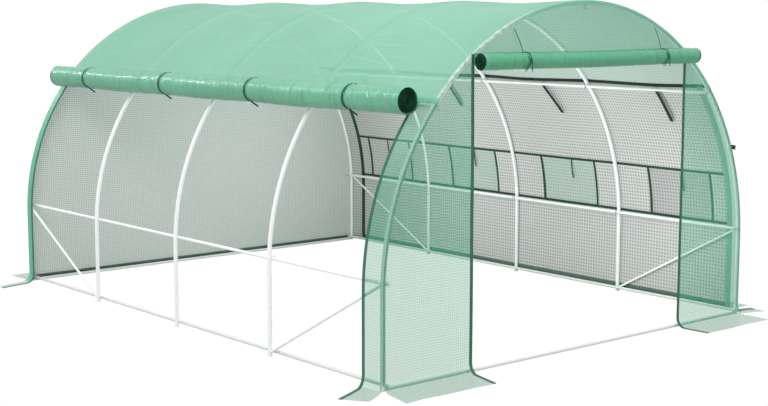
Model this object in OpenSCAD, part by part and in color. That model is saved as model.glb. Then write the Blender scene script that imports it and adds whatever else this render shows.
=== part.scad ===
// Polytunnel greenhouse, 3 m wide, 4 m long and 2 m high: white steel tubes under a green sheet cover.
// +Y runs along the tunnel and away from the door, +X is the windowed side, Z = 0 is the ground.

/* [Frame] */
// Width over the legs of a hoop
tunnel_w = 3000; // [2400:50:3600]
// Length over the two end hoops
tunnel_l = 4000; // [3000:50:5000]
// Number of bays between hoops
bays = 4; // [3:1:6]
// Height of the straight legs under the round of a hoop
leg_h = 500; // [350:10:700]
// Diameter of the hoop tube
hoop_d = 25; // [19:1:38]
// Diameter of the rails, the ridge tube and the sills
rail_d = 19; // [15:1:30]
// Diameter of the diagonal braces
brace_d = 16; // [12:1:25]
// Height of the side rail's axis
side_rail_h = 559; // [520:1:700]
// Angle of the purlins above the springing line
purlin_angle = 40; // [34:0.5:50]
// Height at which a brace meets the foot of a leg
brace_foot_h = 20; // [15:1:60]

/* [Cover] */
// Thickness of the cover as modelled
sheet_t = 4; // [3:0.5:6]
// Reach of the ground flaps beyond the walls
flap_reach = 250; // [150:10:350]
// Angle of the sewn seam between roof and side curtains
seam_angle = 40.6; // [40:0.1:46]
// Width of a sewn seam tape
seam_w = 24; // [15:1:40]
// Width of a zip tape
zip_w = 40; // [25:1:60]
// Width of the binding tape along an open edge
binding_w = 20; // [12:1:30]
// Width of the wide fixed strip, at the front left and back right corners
wide_strip_w = 146; // [120:1:220]
// Width of the narrow fixed strip, at the other two corners
narrow_strip_w = 72; // [50:1:110]

/* [Door] */
// Clear width of the doorway
door_w = 1760; // [1400:20:2000]
// Diameter of the rolled-up door
door_roll_d = 88; // [70:1:110]
// Length of the rolled-up door
door_roll_l = 1850; // [1500:10:2100]
// Sideways shift of the rolled-up door towards the windowed side
door_roll_shift = 25; // [0:5:140]
// Drop of the rolled-up door's axis below the head of the doorway
door_roll_drop = 40; // [10:1:60]
// Place of each door string's upper end, from the middle of the doorway
door_tie_x = 584; // [300:1:700]

/* [Side curtain] */
// Diameter of the rolled-up curtain
side_roll_d = 130; // [90:1:150]
// Reach of the rolled-up curtain over the front strip
side_roll_lap = 42; // [10:1:60]
// Angle of the rolled-up curtain above the springing line
side_roll_angle = 38.3; // [36:0.1:39]
// Width of the ties and straps
strap_w = 18; // [10:1:30]
// Thickness of the ties and straps
strap_t = 3; // [2:0.5:4]
// Angle down which the loose straps lie from the seam
strap_drop = 10; // [6:0.5:14]

/* [Windows] */
// Length of a window along the tunnel
window_l = 510; // [300:10:600]
// Angle of a window's foot above the springing line
window_low = 3.3; // [3:0.1:6]
// Angle of a window's head above the springing line
window_high = 15.2; // [10:0.1:20]
// Width of the tape round the windows
window_tape_w = 18; // [10:1:30]
// Angle down which a window's tie hangs
window_tie_drop = 5; // [3:0.5:8]
// Shift of the loose straps towards the door
strap_shift = 40; // [0:5:100]

/* [Hidden] */

// Facets drawn on the large arcs and on the small ones
$fn = 96;
big_fn = 240;
tie_fn = 48;
// Gap between pieces that only touch
touch = 0.3;
// Side that a mirrored piece lies on
left = -1;
right = 1;

// The arch
hoop_r = tunnel_w / 2 - hoop_d / 2;
bay_l = (tunnel_l - hoop_d) / bays;
end_hoop_y = bays * bay_l / 2;
rail_r = hoop_r - hoop_d / 2 - touch - rail_d / 2;
cover_in = tunnel_w / 2 + touch;
cover_out = cover_in + sheet_t;
end_in = tunnel_l / 2 + touch;
end_out = end_in + sheet_t;
wedge_r = 2 * tunnel_w;

// Heights and angles of the rails
sill_z = rail_d / 2;
ground_rail_z = sill_z + rail_d + touch;
side_rail_angle = asin((side_rail_h - leg_h) / rail_r);
brace_angle = atan2(side_rail_h - brace_foot_h, bay_l);
brace_gap = (hoop_d / 2 + touch + brace_d / 2 * sin(brace_angle)) / cos(brace_angle);
sill_l = 2 * (hoop_r - hoop_d / 2 - touch);

// Angles of the seams, counted up from the springing line
tape_half = degrees_of(seam_w / 2);
tape_low = seam_angle - tape_half;
tape_high = seam_angle + tape_half;
window_tape_angle = degrees_of(window_tape_w);

// The curtains run between a wide strip and a narrow strip, turned half a turn from side to side
opening_wide_y = end_out - wide_strip_w;
opening_narrow_y = end_out - narrow_strip_w;
curtain_shift = (opening_narrow_y - opening_wide_y) / 2;
binding_wide_y = opening_wide_y - binding_w;
binding_narrow_y = opening_narrow_y - binding_w;

// Rolls
side_roll_r = side_roll_d / 2;
side_roll_axis_r = cover_out + touch + side_roll_r;
side_roll_front_y = -opening_wide_y - side_roll_lap;
side_roll_back_y = tunnel_l / 2;
side_roll_web = 0.8;
door_roll_r = door_roll_d / 2;
door_head_z = leg_h + sqrt(pow(tunnel_w / 2, 2) - pow(door_w / 2, 2));
door_roll_z = door_head_z - door_roll_drop;
door_tie_d = 4;
door_roll_y = -end_out - touch - door_tie_d - touch - door_roll_r;
door_tie_slant = 58;
door_tie_drop = 38;
door_tie_z = leg_h + sqrt(pow(tunnel_w / 2, 2) - pow(door_tie_x, 2)) - door_tie_drop;

// Tab sewn to the outside of the front right corner
tab_h = 1090;
tab_l = 40;
tab_w = 18;

// Angle at the arch's centre that a width on the cover takes
function degrees_of(w) = w / cover_in * 180 / PI;

// Y of the n-th hoop, counted from the door
function hoop_y(n) = -end_hoop_y + (n - 1) * bay_l;

// Y of the middle of the n-th bay, counted from the door
function bay_y(n) = hoop_y(n) + bay_l / 2;

// Extrudes a cross section of the tunnel from y0 to y1
module along_y(y0, y1) {
    translate([0, y1, 0]) rotate([90, 0, 0]) linear_extrude(height = y1 - y0) children();
}

// Puts a right-hand cross section on the left when side is -1
module on_side(side) {
    if (side == left) mirror([1, 0, 0]) children();
    else children();
}

// Cross section of a sheet that follows the arch between two angles
module arc_section(r_in, r_out, low, high) {
    mid = (low + high) / 2;
    translate([0, leg_h]) intersection() {
        difference() {
            circle(r = r_out, $fn = big_fn);
            circle(r = r_in, $fn = big_fn);
        }
        polygon([[0, 0],
            wedge_r * [cos(low), sin(low)],
            wedge_r * [cos(mid), sin(mid)],
            wedge_r * [cos(high), sin(high)]]);
    }
}

// Cross section of the cover between two angles
module cover_section(low, high) {
    arc_section(cover_in, cover_out, low, high);
}

// Cross section of the upright part of a side wall
module upright_section() {
    translate([cover_in, 0]) square([sheet_t, leg_h]);
}

// Cross section of a side wall from an angle down to its ground flap
module wall_section(high) {
    cover_section(0, high);
    upright_section();
    translate([cover_in, 0]) square([sheet_t + flap_reach, sheet_t]);
}

// Outline of an end wall
module arch_outline(r) {
    translate([0, leg_h]) intersection() {
        circle(r = r, $fn = big_fn);
        translate([-r, 0]) square([2 * r, r]);
    }
    translate([-r, 0]) square([2 * r, leg_h]);
}

// Round bar between two points
module bar(from, to, d) {
    run = to - from;
    length = norm(run);
    translate(from)
        rotate([0, acos(run[2] / length), atan2(run[1], run[0])])
            cylinder(h = length, d = d);
}

// Tube along the tunnel at an angle on the arch
module long_tube(x, z) {
    translate([x, tunnel_l / 2, z]) rotate([90, 0, 0]) cylinder(h = tunnel_l, d = rail_d);
}

module hoop(n) {
    color("whitesmoke") translate([0, hoop_y(n), 0]) {
        translate([0, 0, leg_h]) rotate([90, 0, 0])
            rotate_extrude(angle = 180, $fn = big_fn)
                translate([hoop_r, 0]) circle(d = hoop_d);
        for (side = [left, right]) {
            translate([side * hoop_r, 0, 0]) cylinder(h = leg_h, d = hoop_d);
        }
    }
}

module side_rail(side) {
    color("whitesmoke") long_tube(side * rail_r * cos(side_rail_angle), side_rail_h);
}

module purlin(side) {
    color("whitesmoke")
        long_tube(side * rail_r * cos(purlin_angle), leg_h + rail_r * sin(purlin_angle));
}

module ridge_tube() {
    color("whitesmoke") long_tube(0, leg_h + rail_r);
}

module ground_rail(side) {
    color("whitesmoke") long_tube(side * rail_r, ground_rail_z);
}

// Sill tube on the ground between the legs of an end hoop
module sill(end) {
    color("whitesmoke") translate([-sill_l / 2, end * end_hoop_y, sill_z])
        rotate([0, 90, 0]) cylinder(h = sill_l, d = rail_d);
}

// Brace between two legs, from the side rail at an end hoop down to the foot of the next one
module brace(side, end) {
    gap_y = brace_gap * cos(brace_angle);
    gap_z = brace_gap * sin(brace_angle);
    color("whitesmoke") bar(
        [side * hoop_r, end * (end_hoop_y - gap_y), side_rail_h - gap_z],
        [side * hoop_r, end * (end_hoop_y - bay_l + gap_y), brace_foot_h + gap_z],
        brace_d);
}

module roof_cover() {
    color("mediumaquamarine") along_y(-end_out, end_out) cover_section(tape_high, 180 - tape_high);
}

module seam_tape(side) {
    color("darkslategray") on_side(side) along_y(-end_out, end_out) cover_section(tape_low, tape_high);
}

// Fixed strip of side wall at a corner, with its ground flap
module corner_strip(side, y0, y1) {
    color("mediumaquamarine") on_side(side) along_y(y0, y1) wall_section(tape_low);
}

// Upright tape of a side wall from y0 to y1
module upright_tape(side, y0, y1) {
    on_side(side) along_y(y0, y1) {
        cover_section(0, tape_low);
        upright_section();
    }
}

module left_opening_bindings() {
    color("darkslategray") {
        upright_tape(left, -opening_wide_y, -binding_wide_y);
        upright_tape(left, binding_narrow_y, opening_narrow_y);
    }
}

module right_zip_tapes() {
    color("darkslategray") {
        upright_tape(right, -opening_narrow_y, zip_w - opening_narrow_y);
        upright_tape(right, opening_wide_y - zip_w, opening_wide_y);
    }
}

// Short tab that stands out from the front right corner strip
module right_corner_tab() {
    tab_angle = asin((tab_h - leg_h) / cover_out);
    color("black") translate([0, -end_hoop_y, leg_h]) rotate([0, -tab_angle, 0])
        translate([cover_out + touch, -sheet_t / 2, -tab_w / 2]) cube([tab_l, sheet_t, tab_w]);
}

// Piece of the windowed curtain between two angles and over its whole length
module right_curtain_piece(low, high) {
    along_y(zip_w - opening_narrow_y, opening_wide_y - zip_w) cover_section(low, high);
}

module right_curtain_upper() {
    color("mediumaquamarine") right_curtain_piece(window_high + window_tape_angle, tape_low);
}

module right_curtain_lower() {
    color("mediumaquamarine") {
        right_curtain_piece(0, window_low - window_tape_angle);
        along_y(zip_w - opening_narrow_y, opening_wide_y - zip_w) {
            upright_section();
            translate([cover_in, 0]) square([sheet_t + flap_reach, sheet_t]);
        }
    }
}

// Y of the middle of the n-th window
function window_y(n) = bay_y(n) - curtain_shift;

// Plain wall beside and between the windows
module right_window_walls() {
    half = window_l / 2 + window_tape_w;
    color("mediumaquamarine") difference() {
        right_curtain_piece(window_low, window_high);
        for (n = [1 : bays]) {
            translate([rail_r / 2, window_y(n) - half, leg_h]) cube([tunnel_w, 2 * half, tunnel_w]);
        }
    }
}

// Tapes above and below the row of windows, joined by those at each window's ends
module right_window_tapes() {
    color("darkslategray") {
        right_curtain_piece(window_low - window_tape_angle, window_low);
        right_curtain_piece(window_high, window_high + window_tape_angle);
        for (n = [1 : bays], end = [-1, 1]) {
            mid = window_y(n) + end * (window_l + window_tape_w) / 2;
            along_y(mid - window_tape_w / 2, mid + window_tape_w / 2)
                cover_section(window_low, window_high);
        }
    }
}

module right_window_flaps() {
    color("seagreen") for (n = [1 : bays]) {
        along_y(window_y(n) - window_l / 2, window_y(n) + window_l / 2)
            cover_section(window_low, window_high);
    }
}

// Loose tie inside the head of each window
module right_window_ties() {
    tie_w = strap_w / 2;
    tie_out = cover_in - touch;
    color("black") for (n = [1 : bays]) {
        along_y(window_y(n) - tie_w / 2, window_y(n) + tie_w / 2)
            arc_section(tie_out - strap_t, tie_out, window_high - window_tie_drop, window_high);
    }
}

// Loose straps that lie on the inside of the curtain below its seam
module right_straps() {
    strap_out = cover_in - touch;
    color("black") for (n = [1 : bays]) {
        mid = window_y(n) - strap_shift;
        along_y(mid - strap_w / 2, mid + strap_w / 2)
            arc_section(strap_out - strap_t, strap_out, tape_low - strap_drop, tape_low);
    }
}

// Moves a cross section to the axis of the rolled-up curtain
module at_side_roll() {
    translate(side_roll_axis_r * [cos(side_roll_angle), sin(side_roll_angle)] + [0, leg_h]) children();
}

// Rolled-up curtain and the sheet that runs down to it from the seam
module left_curtain_roll() {
    color("mediumaquamarine") on_side(left) {
        along_y(side_roll_front_y, side_roll_back_y) at_side_roll() circle(r = side_roll_r);
        along_y(-binding_wide_y, binding_narrow_y) {
            cover_section(side_roll_angle - side_roll_web, tape_low);
            arc_section(cover_out - touch, cover_out + sheet_t, side_roll_angle - side_roll_web,
                side_roll_angle + side_roll_web);
        }
    }
}

// Outline of a tie drawn round the roll and up to the seam, grown by a margin
module tie_outline(margin) {
    sheet_mid = cover_in + sheet_t / 2;
    hull() {
        at_side_roll() circle(r = side_roll_r + touch + margin, $fn = tie_fn);
        for (a = [side_roll_angle - side_roll_web, tape_low]) {
            translate(sheet_mid * [cos(a), sin(a)] + [0, leg_h])
                circle(r = sheet_t / 2 + 2 * touch + margin, $fn = tie_fn);
        }
    }
}

module left_roll_ties() {
    color("black") for (n = [1 : bays]) {
        mid = bay_y(n) + curtain_shift;
        on_side(left) along_y(mid - strap_w / 2, mid + strap_w / 2) difference() {
            tie_outline(strap_t);
            tie_outline(0);
            arc_section(cover_in - touch, cover_out + touch, side_roll_angle, tape_high);
        }
    }
}

// Ground flap of an end wall between two places across the tunnel
module end_flap(x0, x1) {
    translate([x0, -end_in - sheet_t - flap_reach, 0])
        cube([x1 - x0, sheet_t + flap_reach, sheet_t]);
}

// Back wall with its ground flap, drawn at the front and turned to the back
module back_wall() {
    color("mediumaquamarine") rotate([0, 0, 180]) {
        along_y(-end_out, -end_in) arch_outline(tunnel_w / 2);
        end_flap(-tunnel_w / 2, tunnel_w / 2);
    }
}

module gable_panel() {
    color("mediumaquamarine") along_y(-end_out, -end_in) intersection() {
        arch_outline(tunnel_w / 2);
        translate([-tunnel_w / 2, door_head_z]) square([tunnel_w, tunnel_w]);
    }
}

// Fixed panel beside the doorway, with its ground flap
module front_panel(side) {
    edge = door_w / 2 + binding_w;
    color("mediumaquamarine") on_side(side) {
        along_y(-end_out, -end_in) intersection() {
            arch_outline(tunnel_w / 2);
            translate([edge, 0]) square([tunnel_w, door_head_z]);
        }
        end_flap(edge, tunnel_w / 2);
    }
}

module door_bindings() {
    color("darkslategray") for (side = [left, right]) {
        on_side(side) along_y(-end_out, -end_in) intersection() {
            arch_outline(tunnel_w / 2);
            translate([door_w / 2, 0]) square([binding_w, door_head_z]);
        }
    }
}

module door_roll() {
    color("mediumaquamarine")
        translate([door_roll_shift - door_roll_l / 2, door_roll_y, door_roll_z])
            rotate([0, 90, 0]) cylinder(h = door_roll_l, r = door_roll_r);
}

// Strings tied round the rolled-up door and up to the gable
module door_roll_ties() {
    ring_r = door_roll_r + touch + door_tie_d / 2;
    color("black") for (side = [left, right]) {
        ring_x = side * door_tie_x + door_tie_slant;
        translate([ring_x, door_roll_y, door_roll_z]) rotate([0, 90, 0]) difference() {
            cylinder(h = door_tie_d, r = ring_r + door_tie_d / 2, center = true);
            cylinder(h = 2 * door_tie_d, r = ring_r - door_tie_d / 2, center = true);
        }
        bar([ring_x - door_tie_slant, -end_out - touch - door_tie_d / 2, door_tie_z],
            [ring_x, door_roll_y, door_roll_z + ring_r], door_tie_d);
    }
}

hoop(1);  // hoop_1
hoop(2);  // hoop_2
hoop(3);  // hoop_3
hoop(4);  // hoop_4
hoop(5);  // hoop_5
side_rail(left);  // side_rail_left
side_rail(right);  // side_rail_right
purlin(left);  // purlin_left
purlin(right);  // purlin_right
ridge_tube();
ground_rail(left);  // ground_rail_left
ground_rail(right);  // ground_rail_right
sill(-1);  // sill_front
sill(1);  // sill_back
brace(left, -1);  // brace_front_left
brace(right, -1);  // brace_front_right
brace(left, 1);  // brace_back_left
brace(right, 1);  // brace_back_right
roof_cover();
seam_tape(left);  // seam_tape_left
seam_tape(right);  // seam_tape_right
corner_strip(left, -end_out, -opening_wide_y);  // strip_front_left
corner_strip(left, opening_narrow_y, end_out);  // strip_back_left
corner_strip(right, -end_out, -opening_narrow_y);  // strip_front_right
corner_strip(right, opening_wide_y, end_out);  // strip_back_right
left_opening_bindings();
right_zip_tapes();
right_corner_tab();
right_curtain_upper();
right_window_walls();
right_curtain_lower();
right_window_tapes();
right_window_flaps();
right_window_ties();
right_straps();
left_curtain_roll();
left_roll_ties();
back_wall();
gable_panel();
front_panel(left);  // front_panel_left
front_panel(right);  // front_panel_right
door_bindings();
door_roll();
door_roll_ties();
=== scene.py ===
import math

import bpy
from mathutils import Matrix, Vector, noise


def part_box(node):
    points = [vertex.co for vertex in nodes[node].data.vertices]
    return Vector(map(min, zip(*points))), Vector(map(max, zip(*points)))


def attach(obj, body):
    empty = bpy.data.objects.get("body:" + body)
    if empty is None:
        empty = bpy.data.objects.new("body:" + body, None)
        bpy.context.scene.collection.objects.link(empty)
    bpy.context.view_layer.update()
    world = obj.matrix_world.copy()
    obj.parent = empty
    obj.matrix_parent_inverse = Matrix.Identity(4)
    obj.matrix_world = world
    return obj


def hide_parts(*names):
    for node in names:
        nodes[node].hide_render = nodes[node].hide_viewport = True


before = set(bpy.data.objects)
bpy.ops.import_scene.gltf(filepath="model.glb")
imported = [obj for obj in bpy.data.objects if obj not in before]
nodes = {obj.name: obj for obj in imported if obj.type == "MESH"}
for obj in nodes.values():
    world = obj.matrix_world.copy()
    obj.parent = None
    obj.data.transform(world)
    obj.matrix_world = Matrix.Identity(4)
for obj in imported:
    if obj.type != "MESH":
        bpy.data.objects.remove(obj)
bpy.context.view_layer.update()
box = {name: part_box(name) for name in nodes}


def middle(name):
    """The middle of a node's box."""
    return (box[name][0] + box[name][1]) / 2


# ------------ sizes, in metres
HOOP_Y = [middle(f"hoop_{i}").y for i in range(1, 6)]
END_Y = HOOP_Y[-1]
TUBE = 0.0125                     # outside radius of a hoop tube
LEG = 0.5                         # straight leg below the bend of a hoop
HOOP_R = box["hoop_3"][1].z - LEG - TUBE
COVER_R = HOOP_R + TUBE + 0.002   # middle of the cloth where it lies on a hoop
CLOTH = 0.0012                    # coated woven cloth with its laminate
TURN = 0.06                       # radius where a wall turns out on to the ground
REACH = 0.25                      # how far a ground flap lies out from the wall
CROWN = LEG + COVER_R * math.pi / 2
BEND = TURN - TURN * math.pi / 2  # a wall's turn on to the ground runs from TURN down to here
TIP = BEND + TURN - REACH         # the free edge of a flap
END_FACE = END_Y + TUBE + 0.0010  # middle of the cloth of an end wall
LOW = 0.0024                      # middle of a flap above the floor
SEAM = math.radians(40.6)         # the roof is sewn to the side walls here
SEAM_H = LEG + COVER_R * SEAM
HEM = 0.008                       # turned over the end hoops on to the end walls
WRAP_R = TUBE + 0.002             # the cloth's bend over an end hoop
ROUND_HOOP = 0.0228               # cloth from the top of an end hoop round to its face
X_END = HOOP_R + 0.0069           # half the width of an end wall, under the roof's hem
DOOR_HALF = 0.88
DOOR_HEAD = box["gable_panel"][0].z
STEP = 0.024                      # spacing of the points of a large sheet


def smooth(t):
    t = min(1.0, max(0.0, t))
    return t * t * (3 - 2 * t)


def mix(a, b, t):
    return a + (b - a) * t


def spots(marks, step):
    """Positions from the first mark to the last, one at each mark, at most step apart."""
    found = [marks[0]]
    for a, b in zip(marks, marks[1:]):
        count = max(1, math.ceil(abs(b - a) / step - 1e-6))
        found += [mix(a, b, i / count) for i in range(1, count + 1)]
    return found


def bay(y):
    """0 over a hoop and 1 half-way to the next one."""
    for a, b in zip(HOOP_Y, HOOP_Y[1:]):
        if a <= y <= b:
            t = (y - a) / (b - a)
            return 0.55 * 4 * t * (1 - t) + 0.45 * math.sin(math.pi * t) ** 2
    return 0.0


def ripple(p, size):
    """Slack of the cloth, with broad waves and smaller ones on them."""
    return size * (noise.noise(p * 3.1) + 0.45 * noise.noise(p * 8.3 + Vector((3, 7, 1))))


# ------------ the cover's shape
def turn_out(h):
    """How far out, how high and how much turned the cloth is at h below the turn."""
    q = TURN - h
    if q < TURN * math.pi / 2:
        a = q / TURN
        return TURN * (1 - math.cos(a)), TURN * (1 - math.sin(a)) + LOW, a
    return TURN + q - TURN * math.pi / 2, LOW, math.pi / 2


def flap_wave(x, y, out):
    """A flap doesn't lie quite flat: its free edge lifts in low waves."""
    share = smooth((out - TURN) / (REACH - TURN))
    return share * 0.006 * max(0.0, 0.35 + noise.noise(Vector((x * 4, y * 4, 2.2))))


def toe_of(toes, s, out, straight):
    """Where a flap's point goes: toes gives its free edge's way out at two places of its root."""
    if toes is None:
        return straight * (out / REACH)
    (s0, a), (s1, b) = toes
    t = (s - s0) / (s1 - s0)
    return Vector(a).lerp(Vector(b), t) * (out / REACH)


def shell(side, h, v, lift=0.0, toes=None):
    """A point of the cover: side 1 right or -1 left, h up along the cloth, v along the tunnel."""
    end = 1 if v > 0 else -1
    over = abs(v) - END_Y
    y, deep = v, lift
    if over > 0:
        quarter = WRAP_R * math.pi / 2
        if over < quarter:
            a = over / WRAP_R
            y = end * (END_Y + (WRAP_R + lift) * math.sin(a))
            deep = -WRAP_R + (WRAP_R + lift) * math.cos(a)
        else:
            y = end * (END_Y + WRAP_R + lift)
            deep = -WRAP_R - (over - quarter)
    if h < TURN:
        out, z, a = turn_out(h)
        w = smooth(h / TURN)
        toe = toe_of(toes, v, out, Vector((REACH * side, 0, 0)))
        flat_y = end * (END_Y + over * 0.5) if over > 0 else v
        x = side * (COVER_R + math.cos(a) * mix(lift, deep, w)) + toe.x
        z += math.sin(a) * lift + flap_wave(x, v, out)
        return Vector((x, mix(flat_y, y, w) + toe.y, z))
    theta = max(0.0, (h - LEG) / COVER_R)
    out = Vector((side * math.cos(theta), 0, math.sin(theta)))
    foot = Vector((0, 0, h if h < LEG else LEG))
    share = smooth((h - 0.3) / (CROWN - 0.5))
    slack = bay(v)
    sag = slack * mix(0.0018, 0.0175, share)
    place = foot + out * COVER_R + Vector((0, y, 0))
    wave = ripple(place, mix(0.0012, 0.0042, share)) * (0.15 + 0.85 * slack)
    if over > 0:
        wave = 0.0
    return place + out * (deep - sag + (wave if slack > 0.02 else max(0.0, wave)))


def face(end, x, h, lift=0.0, toes=None):
    """A point of an end wall: end -1 front or 1 back, x across, h up along the cloth."""
    if h < TURN:
        out, z, a = turn_out(h)
        toe = toe_of(toes, x, out, Vector((0, REACH * end, 0)))
        z += math.sin(a) * lift + flap_wave(x, end * 3, out)
        return Vector((x + toe.x, end * (END_FACE + math.cos(a) * lift) + toe.y, z))
    near = min(1.0, (arch_top(x) - h) / 0.25) * min(1.0, (h - TURN) / 0.3)
    place = Vector((x, end * END_FACE, h))
    belly = 0.5 * ripple(place, 0.005) + 0.001
    return place + Vector((0, end * (lift + max(0.0, near) * belly), 0))


def arch_top(x):
    """The height of an end wall's edge over x, under the hem that the roof turns over it."""
    r = HOOP_R + 0.007
    return LEG + math.sqrt(max(0.0, r * r - x * x))


def nothing_selected():
    for o in bpy.context.selected_objects:
        o.select_set(False)


def only(piece):
    """Leaves just this piece selected and active."""
    nothing_selected()
    piece.select_set(True)
    bpy.context.view_layer.objects.active = piece


def edit(piece, *steps):
    """Edits a piece by faces, taking each step in edit mode."""
    only(piece)
    bpy.ops.object.mode_set(mode="EDIT")
    bpy.ops.mesh.select_mode(type="FACE")
    for step in steps:
        step()
    bpy.ops.object.mode_set(mode="OBJECT")


def pick_faces(piece, wanted):
    """Selects just the faces that wanted(face) is true for."""
    edit(piece, lambda: bpy.ops.mesh.select_all(action="DESELECT"))
    for f in piece.data.polygons:
        f.select = bool(wanted(f))


def modify(piece, kind, **settings):
    """Adds a modifier and applies it."""
    only(piece)
    modifier = piece.modifiers.new(kind.lower(), kind)
    for key, value in settings.items():
        setattr(modifier, key, value)
    bpy.ops.object.modifier_apply(modifier=modifier.name)


def soft_edges(piece, angle=40):
    only(piece)
    bpy.ops.object.shade_smooth_by_angle(angle=math.radians(angle))


def note_cut(mesh, missing):
    """Measures a sheet on its flat cloth, which its UV map holds in metres."""
    layer = mesh.uv_layers[0].data
    area, seen = 0.0, []
    for f in mesh.polygons:
        if missing(f):
            continue
        ring = [layer[k].uv.copy() for k in f.loop_indices]
        seen += ring
        area += abs(sum(a.cross(b) for a, b in zip(ring, ring[1:] + ring[:1]))) / 2


def lay(name, us, vs, place, finish, outward, thick=CLOTH, cut=None, paint=None, tiles=None):
    """Lays a sheet of cloth: a grid whose points place(u, v) puts on the object.
    finish is its materials, outer and inner by turns; paint(u, v) picks the pair of a face.
    cut(u, v) is true where the cloth is cut out, and tiles(u, v) its place on the flat cloth."""
    nothing_selected()
    across, along = len(us) - 1, len(vs) - 1
    bpy.ops.mesh.primitive_grid_add(x_subdivisions=across, y_subdivisions=along, size=1)
    piece = bpy.context.object
    piece.name = piece.data.name = name
    mesh = piece.data
    at = [(round((p.co.x + 0.5) * across), round((p.co.y + 0.5) * along)) for p in mesh.vertices]
    flat = []
    for i, j in at:
        flat += [*place(us[i], vs[j])]
    mesh.vertices.foreach_set("co", flat)
    mesh.update()
    leaning = sum(outward(f.center).dot(f.normal) * f.area for f in mesh.polygons)
    layer = mesh.uv_layers[0].data
    for loop in mesh.loops:
        i, j = at[loop.vertex_index]
        layer[loop.index].uv = tiles(us[i], vs[j]) if tiles else (us[i], vs[j])
    for material in finish:
        mesh.materials.append(material)

    def cell(f):
        i, j = (min(at[k][axis] for k in f.vertices) for axis in (0, 1))
        return (us[i] + us[i + 1]) / 2, (vs[j] + vs[j + 1]) / 2

    note_cut(mesh, lambda f: cut and cut(*cell(f)))
    if paint:
        for f in mesh.polygons:
            f.material_index = 2 * paint(*cell(f))
    if cut:
        pick_faces(piece, lambda f: cut(*cell(f)))
        edit(piece, lambda: bpy.ops.mesh.delete(type="FACE"))
    if leaning < 0:
        edit(piece, lambda: bpy.ops.mesh.select_all(action="SELECT"), bpy.ops.mesh.flip_normals)
    modify(piece, "SOLIDIFY", thickness=thick, offset=0, use_rim=True, material_offset=1,
           material_offset_rim=0, use_even_offset=False)
    soft_edges(piece, 50)
    return piece


def new_object(name, data):
    """An object of its own in the scene."""
    made = bpy.data.objects.new(name, data)
    bpy.context.scene.collection.objects.link(made)
    return made


def settle(piece, slot, *stands_for):
    """The piece rides with the frame and stands for its CAD nodes; slot is not used."""
    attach(piece, "root")
    if stands_for:
        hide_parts(*stands_for)
    return piece


def out_of_tunnel(p):
    """Outwards from the tunnel's middle line, or up on a flap."""
    if p.z < LEG:
        return Vector((p.x, 0, 0.4 if p.z < TURN else 0))
    return Vector((p.x, 0, p.z - LEG))


def out_of_front(p):
    return Vector((0, -1, 0.6 if p.z < TURN else 0))


def out_of_back(p):
    return Vector((0, 1, 0.6 if p.z < TURN else 0))


# ------------ materials
def linear(code):
    """An sRGB hex colour as the linear numbers that a socket takes."""
    out = []
    for i in (1, 3, 5):
        c = int(code[i:i + 2], 16) / 255
        out.append(c / 12.92 if c <= 0.04045 else ((c + 0.055) / 1.055) ** 2.4)
    return (*out, 1.0)


def add(tree, kind, links=None, **settings):
    """Adds a node with its settings; links gives a socket a value or another node's output."""
    made = tree.nodes.new("ShaderNode" + kind)
    for key, value in settings.items():
        setattr(made, key, value)
    for key, value in (links or {}).items():
        if isinstance(value, bpy.types.NodeSocket):
            tree.links.new(value, made.inputs[key])
        else:
            made.inputs[key].default_value = value
    return made


def finish_named(name):
    """A new material with an empty tree, and its output."""
    material = bpy.data.materials.new(name)
    material.use_nodes = True
    tree = material.node_tree
    tree.nodes.clear()
    return material, tree, add(tree, "OutputMaterial")


def ramp(tree, value, low, high, start, stop):
    """A value moved from low..high to start..stop, and held there."""
    return add(tree, "MapRange", {"Value": value, "From Min": low, "From Max": high,
                                  "To Min": start, "To Max": stop}).outputs[0]


def blend(tree, share, a, b):
    """A colour between two hex colours or outputs."""
    pair = {6: a, 7: b}
    return add(tree, "Mix", {0: share, **{k: linear(c) if isinstance(c, str) else c
                                          for k, c in pair.items()}},
               data_type="RGBA").outputs[2]


def threads(tree, flat, pitch, width):
    """1 on the strong threads woven both ways into the cloth, 0 between them."""
    count = add(tree, "VectorMath", {0: flat, "Scale": 1 / pitch}, operation="SCALE").outputs[0]
    part = add(tree, "VectorMath", {0: count}, operation="FRACTION").outputs[0]
    moved = add(tree, "VectorMath", {0: part, 1: (0.5, 0.5, 0.5)}, operation="SUBTRACT").outputs[0]
    away = add(tree, "VectorMath", {0: moved}, operation="ABSOLUTE").outputs[0]
    xyz = add(tree, "SeparateXYZ", {0: away})
    near = add(tree, "Math", {0: xyz.outputs[0], 1: xyz.outputs[1]}, operation="MAXIMUM").outputs[0]
    half = width / pitch / 2
    return ramp(tree, near, 0.5 - half * 1.5, 0.5 - half * 0.5, 0, 1)


def bumped(tree, height, distance, strength=1.0, under=None):
    links = {"Height": height, "Distance": distance, "Strength": strength}
    if under is not None:
        links["Normal"] = under
    return add(tree, "Bump", links).outputs[0]


THREAD_PITCH = 0.0147  # the strong threads of the ends' cloth are 14.7 mm apart
WALL_PITCH = 0.0234    # and those of the side walls' cloth 23.4 mm
TAPE_RIB = 0.0025      # ribs of woven edge tape


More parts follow.
